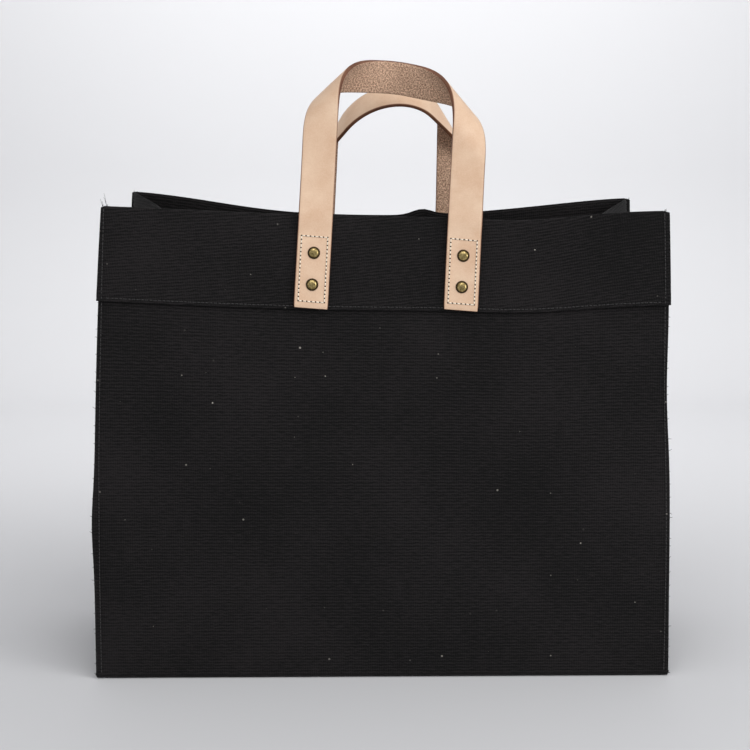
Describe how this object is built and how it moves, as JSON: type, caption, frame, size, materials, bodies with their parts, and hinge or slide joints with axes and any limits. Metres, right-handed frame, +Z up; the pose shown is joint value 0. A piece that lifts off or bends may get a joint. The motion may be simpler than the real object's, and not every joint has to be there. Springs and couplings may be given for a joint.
{
  "type": "canvas tote bag",
  "caption": "Upright open-topped canvas tote with a deep stitched top band, outside corner seams and riveted leather strap handles that swing outward.",
  "frame": {"origin": "middle of the bag's footprint, on the surface that it stands on", "axes": "+X to the right seen from the front, +Y from the front panel to the rear panel, +Z up"},
  "size_m": [0.425, 0.1766, 0.4617],
  "materials": {
    "canvas": "heavy plain-woven cotton duck, matt black",
    "leather": "natural vegetable-tanned strap, smooth grain outside, suede inside, dark burnished edges",
    "brass": "antique brass, low domed caps",
    "cream_thread": "waxed cream thread",
    "black_thread": "black sewing thread"
  },
  "bodies": {
    "bag": {"base_panel": "canvas", "front_panel": "canvas", "rear_panel": "canvas", "left_gusset": "canvas", "right_gusset": "canvas", "front_band": "canvas", "rear_band": "canvas", "left_band": "canvas", "right_band": "canvas", "front_left_strap_end": "leather", "front_right_strap_end": "leather", "rear_left_strap_end": "leather", "rear_right_strap_end": "leather", "front_left_rivet_lower_cap": "brass", "front_left_rivet_upper_cap": "brass", "front_right_rivet_lower_cap": "brass", "front_right_rivet_upper_cap": "brass", "rear_left_rivet_lower_cap": "brass", "rear_left_rivet_upper_cap": "brass", "rear_right_rivet_lower_cap": "brass", "rear_right_rivet_upper_cap": "brass", "front_left_rivet_lower_back": "brass", "front_left_rivet_upper_back": "brass", "front_right_rivet_lower_back": "brass", "front_right_rivet_upper_back": "brass", "rear_left_rivet_lower_back": "brass", "rear_left_rivet_upper_back": "brass", "rear_right_rivet_lower_back": "brass", "rear_right_rivet_upper_back": "brass", "front_left_box_stitch": "cream_thread", "front_right_box_stitch": "cream_thread", "rear_left_box_stitch": "cream_thread", "rear_right_box_stitch": "cream_thread", "front_left_corner_seam": "black_thread", "front_right_corner_seam": "black_thread", "rear_left_corner_seam": "black_thread", "rear_right_corner_seam": "black_thread", "front_topstitch": "black_thread", "rear_topstitch": "black_thread", "left_topstitch": "black_thread", "right_topstitch": "black_thread"},
    "front_handle": {"front_handle_loop": "leather"},
    "rear_handle": {"rear_handle_loop": "leather"}
  },
  "joints": [
    {"name": "front_handle_swing", "type": "hinge", "parent": "bag", "child": "front_handle", "pos_m": [0, -0.0699, 0.3309], "axis": [1, 0, 0], "range_deg": [-3, 110], "stiffness_Nm_per_rad": 0.3, "springref_deg": 0.76},
    {"name": "rear_handle_swing", "type": "hinge", "parent": "bag", "child": "rear_handle", "pos_m": [0, 0.0601, 0.3288], "axis": [-1, 0, 0], "range_deg": [-3, 110], "stiffness_Nm_per_rad": 0.3, "springref_deg": 0.84}
  ]
}
